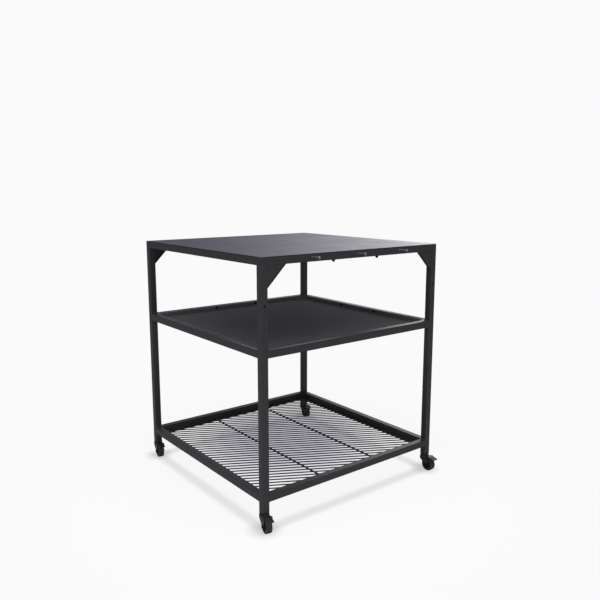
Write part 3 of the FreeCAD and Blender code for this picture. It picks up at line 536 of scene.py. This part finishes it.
class STEEL_TABLE_OT_top(bpy.types.Operator):
    """Paint the sheet top"""
    bl_idname = "steel_table.top"
    bl_label = "Top"

    def execute(self, context):
        finish = context.scene.table_finish
        smooth = powder_coat("Semi-gloss black powder coat", finish.top_black, finish, 0.3,
                             peel_depth=0.04 * MM, grit_depth=0.004 * MM, scuffed=0.03)
        dress(["tabletop"], smooth)
        return {"FINISHED"}


# Tray.
def well_ring(middle, reach, cut_sum, height):
    """The outline of the tray's well at a reach from its middle, with cut corners, at a height."""
    short = cut_sum - reach
    corners = [(short, -reach), (reach, -short), (reach, short), (short, reach),
               (-short, reach), (-reach, short), (-reach, -short), (-short, -reach)]
    return [Vector((middle.x + x, middle.y + y, height)) for x, y in corners]


def bend(reach, height, radius, start, end, steps=5):
    """Reach and height along a bend about a centre, between two angles in degrees."""
    angles = [math.radians(start + (end - start) * step / steps) for step in range(steps + 1)]
    return [(reach + radius * math.cos(angle), height + radius * math.sin(angle)) for angle in angles]


def tray_shape(shapes):
    """The tray's sheet at half its thickness: a rim notched round the legs, four bent walls with cut
    corners, and the floor."""
    shape = Shape()
    low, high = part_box("tray")
    leg_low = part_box("leg_front_right")[0]
    middle = (low + high) / 2
    half = shapes.tray_sheet / 2
    rim_x, rim_y = high.x - middle.x, high.y - middle.y
    notch = leg_low.x - middle.x - shapes.tray_notch
    wall = notch - half
    rim_z = high.z - half
    floor_z = high.z - shapes.tray_depth - half
    slope = math.sqrt(2)
    cut_line = 2 * notch - shapes.tray_cut
    upper = bend(wall + shapes.tray_bend, rim_z - shapes.tray_bend, shapes.tray_bend, 90, 180)
    lower = bend(wall - shapes.tray_foot_bend, floor_z + shapes.tray_foot_bend, shapes.tray_foot_bend, 0, -90)
    rings = []
    for reach, height in upper + lower:
        rings.append(well_ring(middle, reach, cut_line + (reach - notch) * slope, height))
    for near, far in zip(rings, rings[1:]):
        for j in range(8):
            k = (j + 1) % 8
            shape.polygon([near[j], near[k], far[k], far[j]])
    shape.polygon(rings[-1])
    edge = upper[0][0]
    short = cut_line + (edge - notch) * slope - edge
    centre = Vector((middle.x, middle.y, rim_z))
    for turn in range(4):
        spin = Matrix.Rotation(turn * math.pi / 2, 3, "Z")
        rim = rim_y if turn % 2 == 0 else rim_x
        side = [(-notch, -rim), (notch, -rim), (notch, -edge), (short, -edge), (-short, -edge),
                (-notch, -edge)]
        corner = [(short, -edge), (notch, -edge), (notch, -notch), (edge, -notch), (edge, -short)]
        for outline in (side, corner):
            shape.polygon([centre + spin @ Vector((x, y, 0)) for x, y in outline])
    return shape


class STEEL_TABLE_OT_tray(bpy.types.Operator):
    """Build the tray's bent sheet and paint it"""
    bl_idname = "steel_table.tray"
    bl_label = "Tray"

    def execute(self, context):
        finish, shapes = context.scene.table_finish, context.scene.table_shapes
        rim_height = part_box("tray")[1].z
        coat = textured_coat("Textured black powder coat", finish.tray_black, finish, rim_height)
        sheet = add_piece("tray_sheet", tray_shape(shapes), coat, "frame", ["tray"],
                          smooth_angle=35)
        thick = sheet.modifiers.new("Sheet", "SOLIDIFY")
        thick.thickness = shapes.tray_sheet
        thick.offset = 0
        thick.use_even_offset = True
        return {"FINISHED"}


# Rack.
def clipped(point, direction, low, high):
    """The stretch of a line that lies inside a rectangle, as two distances along it, or None."""
    near, far = -math.inf, math.inf
    for axis in (0, 1):
        if abs(direction[axis]) < 1e-9:
            continue
        ends = sorted((bound[axis] - point[axis]) / direction[axis] for bound in (low, high))
        near, far = max(near, ends[0]), min(far, ends[1])
    return (near, far) if far - near > 0 else None


def blob(shape, middle, across, over, up, widths, rings=4, count=10):
    """A flattened lump of weld metal, with its two poles cut off."""
    layers = []
    pole = 0.42 * math.pi
    for step in range(rings + 1):
        angle = pole * (2 * step / rings - 1)
        level = middle + widths[2] / 2 * math.sin(angle) * up
        layers.append([level + math.cos(angle) * (widths[0] / 2 * math.cos(a) * across
                                                  + widths[1] / 2 * math.sin(a) * over)
                       for a in [2 * math.pi * j / count for j in range(count)]])
    shape.sweep(layers)


def rack_shapes(shapes):
    """The rack's wires, its rods, and the spot welds that hold them."""
    wires, rods, spots = Shape(), Shape(), Shape()
    low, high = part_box("base_rail_front")
    back_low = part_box("base_rail_back")[0]
    side_low, side_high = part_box("base_rail_left")
    inner_low = Vector((side_high.x, high.y, 0))
    inner_high = Vector((-side_high.x, back_low.y, 0))
    outer_low = Vector((side_low.x, low.y, 0))
    middle = (inner_low + inner_high) / 2
    tube = high.y - low.y
    radius = shapes.wire_thick / 2
    wire_z = low.z + radius
    rod_z = low.z + shapes.wire_thick + shapes.rod_thick / 2
    lean, rise = math.sin(shapes.wire_angle), math.cos(shapes.wire_angle)
    square_to, along = Vector((lean, rise, 0)), Vector((rise, -lean, 0))
    # From the table's front left corner, square to the wires: to the nearest place for a wire that clears
    # the bay's corner, and to the bay's back right corner.
    nearest = (lean + rise) * tube + shapes.wire_thick
    furthest = (inner_high - outer_low).dot(square_to)
    # The wires run on into the rails' walls, so that their square tips leave no gap beside the face.
    tip_room = shapes.tube_corner
    tip_weld = tip_room + 0.3 * MM
    chance = random.Random(7)
    rod_lines = [middle.x + step * shapes.rod_pitch for step in (-0.5, 0.5)]
    for step in range(int((furthest - shapes.wire_start) / shapes.wire_pitch) + 1):
        away = shapes.wire_start + step * shapes.wire_pitch
        point = outer_low + away * square_to + Vector((0, 0, wire_z))
        stretch = clipped(point, along, inner_low, inner_high)
        if away < nearest or stretch is None or stretch[1] - stretch[0] < 2 * shapes.wire_thick:
            continue
        start = point + (stretch[0] - tip_room) * along
        end = point + (stretch[1] + tip_room) * along
        bow = chance.uniform(-1, 1) * shapes.wire_bow
        rings = []
        for part in (0, 0.25, 0.5, 0.75, 1):
            centre = start.lerp(end, part) + bow * math.sin(math.pi * part) * square_to
            rings.append(circle(centre, square_to, UP, radius, 14))
        wires.sweep(rings)
        for tip, sense in ((start, 1), (end, -1)):
            blob(spots, tip + sense * tip_weld * along, along, square_to, UP,
                 (shapes.nugget * 0.7, shapes.nugget * 1.25, shapes.wire_thick * chance.uniform(1.02, 1.2)))
        for line in rod_lines:
            cross = point + (line - point.x) / along.x * along
            if inner_low.y < cross.y < inner_high.y:
                cross.z = low.z + shapes.wire_thick
                blob(spots, cross, along, square_to, UP,
                     (shapes.nugget * chance.uniform(0.9, 1.2), shapes.nugget * chance.uniform(0.9, 1.1),
                      shapes.nugget * 0.45))
    for line in rod_lines:
        ends = [Vector((line, y, rod_z)) for y in (inner_low.y, inner_high.y)]
        rods.sweep([circle(end, Vector((1, 0, 0)), UP, shapes.rod_thick / 2, 18) for end in ends])
        for end in ends:
            blob(spots, end, Vector((0, 1, 0)), Vector((1, 0, 0)), UP,
                 (shapes.nugget * 0.7, shapes.rod_thick * 1.3, shapes.rod_thick * 1.15))
    return wires, rods, spots


class STEEL_TABLE_OT_rack(bpy.types.Operator):
    """Build and paint the wires, rods and spot welds of the rack"""
    bl_idname = "steel_table.rack"
    bl_label = "Rack"

    def execute(self, context):
        finish, shapes = context.scene.table_finish, context.scene.table_shapes
        coat = powder_coat("Black powder coat on drawn wire", finish.rack_black, finish, 0.45, 0.4)
        wires, rods, spots = rack_shapes(shapes)
        add_piece("drawn_wires", wires, coat, "frame", ["rack_wires"])
        add_piece("drawn_rods", rods, coat, "frame", ["rack_rods"])
        add_piece("rack_spot_welds", spots, coat, "frame", smooth_angle=60)
        return {"FINISHED"}


class STEEL_TABLE_OT_hardware(bpy.types.Operator):
    """Finish the pegs, bolts, studs, nuts and plugs"""
    bl_idname = "steel_table.hardware"
    bl_label = "Hardware"

    def execute(self, context):
        finish = context.scene.table_finish
        turned = metal("Dull turned steel", finish.steel_grey, 0.4, finish.turning_pitch, (0.2, 1, 0.2))
        dress(["peg_left", "peg_middle", "peg_right"], turned)
        oxide = metal("Oiled black oxide", finish.oxide_black, 0.45, finish.turning_pitch)
        dress(["tray_bolts", "cap_nuts"], oxide)
        dress(["top_studs"], metal("Zinc plate on studs", finish.zinc_grey, 0.35, finish.turning_pitch))
        nylon = moulded("Black nylon plugs", finish.nylon_black, 1.2 * MM, 0.5, 0.03 * MM)
        dress(["leg_plugs"], nylon)
        return {"FINISHED"}


# Casters.
def caster_axes(corner):
    """A caster's own axes: along its trail, along its axle and up, from the floor below its stem."""
    stem = Vector(JOINTS[f"swivel_turn_{corner}"]["pos_m"])
    axle = Vector(JOINTS[f"wheel_spin_{corner}"]["axis"]).normalized()
    trail = axle.cross(UP)
    axes = Matrix((trail, axle, UP)).transposed().to_4x4()
    axes.translation = (stem.x, stem.y, 0)
    return axes


def tyre_profile(width, radius, shapes):
    """Half-width and radius round a tyre's section: sides with a moulded ring, round shoulders, and a
    crowned tread with two grooves beside its mould line."""
    half, inner = width / 2, radius - shapes.tyre_depth
    shoulder, crown, ring = shapes.tyre_shoulder, 0.25 * MM, 0.35 * MM
    side = [(half, inner), (half, inner + 0.8 * MM), (half - ring, inner + 1.1 * MM),
            (half - ring, inner + 1.7 * MM), (half, inner + 2.0 * MM)]
    centre = (half - shoulder, radius - crown - shoulder)
    round_edge = [(centre[0] + shoulder * math.cos(a), centre[1] + shoulder * math.sin(a))
                  for a in [math.radians(step) for step in (0, 18, 36, 54, 72, 88)]]
    groove, depth = half * 0.42, shapes.tyre_groove
    tread = [(groove + 0.9 * MM, radius - 0.08 * MM), (groove + 0.5 * MM, radius - depth),
             (groove - 0.5 * MM, radius - depth), (groove - 0.9 * MM, radius - 0.04 * MM),
             (0.5 * MM, radius - 0.02 * MM), (0.2 * MM, radius)]
    right = side + round_edge + tread
    return right + [(-x, r) for x, r in reversed(right)]


def tyre_shape(corner, shapes, count=72):
    """A tyre turned from its section, in the place of the CAD one."""
    low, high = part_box(f"caster_tyre_{corner}")
    wheel = Vector(JOINTS[f"wheel_spin_{corner}"]["pos_m"])
    axle = Vector(JOINTS[f"wheel_spin_{corner}"]["axis"]).normalized()
    trail = axle.cross(UP)
    radius = (high.z - low.z) / 2
    # Each level side of the box is part width and part diameter, in shares that the axle's heading gives.
    span = (high.x - low.x, high.y - low.y)
    width = (span[0] * abs(axle.x) - span[1] * abs(axle.y)) / (axle.x ** 2 - axle.y ** 2)
    shape = Shape()
    rings = []
    for step in range(count):
        angle = 2 * math.pi * step / count
        out = math.cos(angle) * trail + math.sin(angle) * UP
        rings.append([wheel + x * axle + r * out for x, r in tyre_profile(width, radius, shapes)])
    shape.sweep(rings, closed=True)
    return shape


def race_seam(corner, shapes, count=64):
    """The rolled seam round the shoulder of a ball race housing."""
    axes = caster_axes(corner)
    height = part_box(f"caster_fork_{corner}")[1].z - shapes.seam_drop
    shape = Shape()
    rings = []
    for step in range(count):
        angle = 2 * math.pi * step / count
        out = Vector((math.cos(angle), math.sin(angle), 0))
        rings.append(circle(axes @ (shapes.seam_reach * out + height * UP), axes.to_3x3() @ out, UP,
                            shapes.seam_bead, 8))
    shape.sweep(rings, closed=True)
    return shape


# A brake lever's highest line and its tip: from the swivel axis along the trail, and above the floor.
LEVER_TOP = (30.2 * MM, 58.5 * MM)
LEVER_TIP = (53.5 * MM, 52.5 * MM)
LEVER_GRIPS = 4
# A ridge's section, its foot sunk into the lever, and how it tapers at each end: the distance from the
# end, and the share of the full section there.
GRIP_SECTION = ((-0.75 * MM, -0.3 * MM), (0.75 * MM, -0.3 * MM), (0.6 * MM, 0.3 * MM),
                (0.3 * MM, 0.52 * MM), (-0.3 * MM, 0.52 * MM), (-0.6 * MM, 0.3 * MM))
GRIP_TAPER = ((0, 0.3), (0.4 * MM, 0.85), (1.2 * MM, 1))


def lever_grips(corner, shapes):
    """Ridges across a brake lever's slope, for the foot."""
    axes = caster_axes(corner)
    slope = (LEVER_TIP[1] - LEVER_TOP[1]) / (LEVER_TIP[0] - LEVER_TOP[0])
    left = [(inset - shapes.grip_half, part) for inset, part in GRIP_TAPER]
    right = [(-y, part) for y, part in reversed(left)]
    shape = Shape()
    for step in range(LEVER_GRIPS):
        x = shapes.grip_first + step * shapes.grip_step
        z = LEVER_TOP[1] + (x - LEVER_TOP[0]) * slope
        shape.sweep([[axes @ Vector((x + a * part, y, z + b * part)) for a, b in GRIP_SECTION]
                     for y, part in left + right])
    return shape


class STEEL_TABLE_OT_casters(bpy.types.Operator):
    """Finish the casters, with their tyres, seams and lever grips"""
    bl_idname = "steel_table.casters"
    bl_label = "Casters"

    def execute(self, context):
        finish, shapes = context.scene.table_finish, context.scene.table_shapes
        pressed = powder_coat("Black painted pressed steel", finish.caster_black, finish, 0.35)
        zinc = metal("Zinc plate on stems", finish.zinc_grey, 0.3, finish.turning_pitch)
        oxide = metal("Black oxide on pins", finish.oxide_black, 0.45, finish.turning_pitch)
        nylon = moulded("Black nylon hubs", finish.nylon_black, 1.2 * MM, 0.42, 0.03 * MM)
        rubber = moulded("Black moulded rubber", finish.rubber_black, 0.8 * MM, 0.7, 0.05 * MM,
                         finish.dust_grey)
        for corner in CORNERS:
            dress([f"caster_fork_{corner}", f"caster_brake_lever_{corner}"], pressed, shapes.edge_round)
            dress([f"caster_stem_{corner}"], zinc)
            dress([f"caster_pins_{corner}"], oxide, 2 * shapes.edge_round)
            dress([f"caster_hub_{corner}"], nylon, shapes.edge_round / 2)
            add_piece(f"moulded_tyre_{corner}", tyre_shape(corner, shapes), rubber, f"wheel_{corner}",
                      [f"caster_tyre_{corner}"], smooth_angle=50)
            add_piece(f"race_seam_{corner}", race_seam(corner, shapes), pressed, f"swivel_{corner}")
            add_piece(f"lever_grips_{corner}", lever_grips(corner, shapes), pressed, f"brake_{corner}")
        return {"FINISHED"}


# Studio.
# Each softbox: its middle, what it points at, its width and height in metres, its watts, and whether
# gloss sees it.
LAMPS = {
    "overhead_softbox": ((-0.6, -0.8, 3.2), (0, 0, 0.5), 2.4, 2.4, 60, True),
    "left_softbox": ((-1.9, -0.6, 1.9), (-0.4, 0, 0.9), 1.0, 1.0, 5, True),
    "front_softbox": ((-1.6, -2.5, 1.15), (0, 0, 0.75), 1.8, 0.9, 30, False),
}
# What gloss sees brightens as its direction's X less Y goes from one value to the next, late in that
# stretch by this power. From this Y of its direction on, it is all backdrop.
RISE_FROM, RISE_TO, RISE_POWER = -0.5, 0.12, 2.2
BACKDROP_FULL = 0.4
# The share of each painted soft shade's reach on the floor that is as dark as its middle: below the
# rails, round a caster, and from the shelves.
RAIL_CORE, SPOT_CORE, UNDER_CORE = 0.13, 0.2, 0.3


def add_camera(studio):
    """Put the camera where the photograph was taken from."""
    data = bpy.data.cameras.new("studio_camera")
    data.sensor_width = 36
    data.lens = studio.camera_lens
    camera = bpy.data.objects.new("studio_camera", data)
    camera.location = (-studio.camera_x, -studio.camera_y, studio.camera_z)
    camera.rotation_euler = (math.pi / 2 - studio.camera_dip, 0, -studio.camera_turn)
    bpy.context.scene.collection.objects.link(camera)
    bpy.context.scene.camera = camera


def add_lamp(name, middle, target, width, height, watts, in_gloss):
    """A rectangular softbox that the camera doesn't see, and gloss only where asked."""
    data = bpy.data.lights.new(name, "AREA")
    data.shape = "RECTANGLE"
    data.size = width
    data.size_y = height
    data.energy = watts
    lamp = bpy.data.objects.new(name, data)
    lamp.location = middle
    lamp.rotation_euler = (Vector(target) - Vector(middle)).to_track_quat("-Z", "Y").to_euler()
    lamp.visible_camera = False
    lamp.visible_glossy = in_gloss
    bpy.context.scene.collection.objects.link(lamp)


def light_world(studio):
    """A pale backdrop for the camera; gloss sees it rise from a dim, cool left end to a white right."""
    world = bpy.data.worlds.new("Studio")
    bpy.context.scene.world = world
    world.use_nodes = True
    tree = world.node_tree
    tree.nodes.clear()
    path = node(tree, "ShaderNodeLightPath")
    place = node(tree, "ShaderNodeTexCoord")
    axes = node(tree, "ShaderNodeSeparateXYZ", {"Vector": place.outputs["Generated"]})
    across = node(tree, "ShaderNodeMath", {0: axes.outputs["X"], 1: axes.outputs["Y"]}, operation="SUBTRACT")
    rise = between(tree, across.outputs[0], RISE_FROM, RISE_TO, 0.0, 1.0)
    curve = node(tree, "ShaderNodeMath", {0: rise.outputs[0], 1: RISE_POWER}, operation="POWER")
    fall = between(tree, curve.outputs[0], 0.0, 1.0, studio.glint_low, studio.glint_low + studio.glint_span)
    behind = between(tree, axes.outputs["Y"], 0.0, BACKDROP_FULL, 0.0, 1.0)
    shown = node(tree, "ShaderNodeMix", {"Factor": behind.outputs[0], "A": studio.glint_front,
                                         "B": fall.outputs[0]}, data_type="FLOAT")
    strength = node(tree, "ShaderNodeMix", {"Factor": path.outputs["Is Glossy Ray"], "A": studio.sky,
                                            "B": shown.outputs["Result"]}, data_type="FLOAT")
    tint = blend_colours(tree, curve.outputs[0], studio.cool_end, (1, 1, 1))
    lit = node(tree, "ShaderNodeBackground", {"Color": tint.outputs["Result"],
                                              "Strength": strength.outputs["Result"]})
    seen = node(tree, "ShaderNodeBackground", {"Color": (*studio.backdrop, 1), "Strength": 1.0})
    mix = node(tree, "ShaderNodeMixShader", {"Fac": path.outputs["Is Camera Ray"], 1: lit.outputs[0],
                                             2: seen.outputs[0]})
    output = node(tree, "ShaderNodeOutputWorld")
    tree.links.new(mix.outputs[0], output.inputs["Surface"])


def soft_step(tree, value, low, high, first):
    """Rise smoothly from a first value to one, between two distances."""
    return node(tree, "ShaderNodeMapRange", {"Value": value, "From Min": low, "From Max": high,
                                             "To Min": first, "To Max": 1.0}, interpolation_type="SMOOTHSTEP")


def painted_floor_shade(tree, studio):
    """How much light the floor's glow keeps under the painted soft shadows straight below the base rails and
    round the casters, and how far a place is out of the broad faint shade painted where the shelves' shadow
    falls, back right of the middle."""
    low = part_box("base_rail_front")[0]
    back_low, back_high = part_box("base_rail_back")
    middle_y = (low.y + back_high.y) / 2
    ring = (back_low.y + back_high.y) / 2 - middle_y
    place = node(tree, "ShaderNodeTexCoord")
    shifted = node(tree, "ShaderNodeVectorMath", {0: place.outputs["Object"], 1: (0, -middle_y, 0)},
                   operation="ADD")
    mirrored = node(tree, "ShaderNodeVectorMath", {0: shifted.outputs["Vector"]}, operation="ABSOLUTE")
    axes = node(tree, "ShaderNodeSeparateXYZ", {"Vector": mirrored.outputs["Vector"]})
    outer = node(tree, "ShaderNodeMath", {0: axes.outputs["X"], 1: axes.outputs["Y"]}, operation="MAXIMUM")
    gap = node(tree, "ShaderNodeMath", {0: outer.outputs[0], 1: ring}, operation="SUBTRACT")
    off = node(tree, "ShaderNodeMath", {0: gap.outputs[0]}, operation="ABSOLUTE")
    # Painted shadow in a soft band straight below the base rails.
    painted_rail_shade = soft_step(tree, off.outputs[0], RAIL_CORE * studio.shade_width, studio.shade_width,
                     1 - studio.shade_depth)
    # Painted contact shadow round each caster.
    away = node(tree, "ShaderNodeVectorMath", {0: mirrored.outputs["Vector"], 1: (ring, ring, 0)},
                operation="DISTANCE")
    spot = soft_step(tree, away.outputs["Value"], SPOT_CORE * studio.spot_width, studio.spot_width,
                     1 - studio.spot_depth)
    # Painted shade of the shelves: a broad soft patch centred back right of the table's middle.
    thrown = node(tree, "ShaderNodeVectorMath",
                  {0: shifted.outputs["Vector"], 1: (studio.under_right, studio.under_back, 0)},
                  operation="DISTANCE")
    under = soft_step(tree, thrown.outputs["Value"], UNDER_CORE * studio.under_reach, studio.under_reach, 0.0)
    light = node(tree, "ShaderNodeMath", {0: painted_rail_shade.outputs[0], 1: spot.outputs[0]}, operation="MULTIPLY")
    return light, under


def add_floor(studio):
    """A pale floor that fades into the backdrop: near the table a small share of it is lit paint that keeps
    the table's real soft shadow, and the rest a glow that carries painted shadows of the table.
    """
    material, tree, output = blank("Studio floor")
    path = node(tree, "ShaderNodeLightPath")
    body = blend_colours(tree, path.outputs["Is Camera Ray"], [studio.floor_bounce] * 3, (1, 1, 1))
    paint = node(tree, "ShaderNodeBsdfDiffuse", {"Color": body.outputs["Result"]})
    light, under = painted_floor_shade(tree, studio)
    # Under the shelves the floor's glow takes this painted shade colour, and outside it the backdrop's
    # colour.
    painted_shelf_shade = [a * b * (1 - studio.under_depth) for a, b in zip(studio.backdrop, studio.under_tint)]
    lit = blend_colours(tree, under.outputs[0], painted_shelf_shade, studio.backdrop)
    # The glow carries the painted shadows: the painted shelf shade's colour, darkened by the painted rail and
    # caster shadows.
    glow = node(tree, "ShaderNodeEmission", {"Color": lit.outputs["Result"], "Strength": light.outputs[0]})
    place = node(tree, "ShaderNodeTexCoord")
    reach = node(tree, "ShaderNodeVectorMath", {0: place.outputs["Object"]}, operation="LENGTH")
    fade = soft_step(tree, reach.outputs["Value"], studio.fade_from, studio.fade_to, studio.floor_glow)
    part = node(tree, "ShaderNodeMath", {0: fade.outputs[0], 1: path.outputs["Is Camera Ray"]},
                operation="MULTIPLY")
    mix = node(tree, "ShaderNodeMixShader", {"Fac": part.outputs[0], 1: paint.outputs[0], 2: glow.outputs[0]})
    finish_with(tree, output, mix)
    mesh = bpy.data.meshes.new("studio_floor")
    half = studio.floor_reach / 2
    corners = [(-half, -half, 0), (half, -half, 0), (half, half, 0), (-half, half, 0)]
    mesh.from_pydata(corners, [], [(0, 1, 2, 3)])
    mesh.materials.append(material)
    floor = bpy.data.objects.new("studio_floor", mesh)
    bpy.context.scene.collection.objects.link(floor)


class STEEL_TABLE_OT_stage(bpy.types.Operator):
    """Add the floor, lamps, backdrop and camera"""
    bl_idname = "steel_table.stage"
    bl_label = "Stage"

    def execute(self, context):
        studio = context.scene.table_studio
        add_camera(studio)
        light_world(studio)
        add_floor(studio)
        for name, settings in LAMPS.items():
            add_lamp(name, *settings)
        context.scene.view_settings.view_transform = "Standard"
        return {"FINISHED"}


class STEEL_TABLE_PT_panel(bpy.types.Panel):
    """Lists the pieces and their finishes"""
    bl_idname = "STEEL_TABLE_PT_panel"
    bl_label = "Steel Table"
    bl_space_type = "VIEW_3D"
    bl_region_type = "UI"
    bl_category = "Steel Table"

    def draw(self, context):
        for operator in OPERATORS:
            self.layout.operator(operator.bl_idname)
        for group in (context.scene.table_finish, context.scene.table_shapes, context.scene.table_studio):
            for name in group.__annotations__:
                self.layout.prop(group, name)


OPERATORS = (STEEL_TABLE_OT_frame, STEEL_TABLE_OT_top, STEEL_TABLE_OT_tray, STEEL_TABLE_OT_rack,
             STEEL_TABLE_OT_hardware, STEEL_TABLE_OT_casters, STEEL_TABLE_OT_stage)
CLASSES = (TableFinish, TableShapes, StudioSetup, *OPERATORS, STEEL_TABLE_PT_panel)


def register():
    for item in CLASSES:
        bpy.utils.register_class(item)
    bpy.types.Scene.table_finish = bpy.props.PointerProperty(type=TableFinish)
    bpy.types.Scene.table_shapes = bpy.props.PointerProperty(type=TableShapes)
    bpy.types.Scene.table_studio = bpy.props.PointerProperty(type=StudioSetup)


def unregister():
    del bpy.types.Scene.table_finish
    del bpy.types.Scene.table_shapes
    del bpy.types.Scene.table_studio
    for item in reversed(CLASSES):
        bpy.utils.unregister_class(item)


def main():
    """Build the scene through its operators."""
    register()
    bpy.ops.steel_table.frame()
    bpy.ops.steel_table.top()
    bpy.ops.steel_table.tray()
    bpy.ops.steel_table.rack()
    bpy.ops.steel_table.hardware()
    bpy.ops.steel_table.casters()
    bpy.ops.steel_table.stage()


if __name__ == "__main__":
    main()
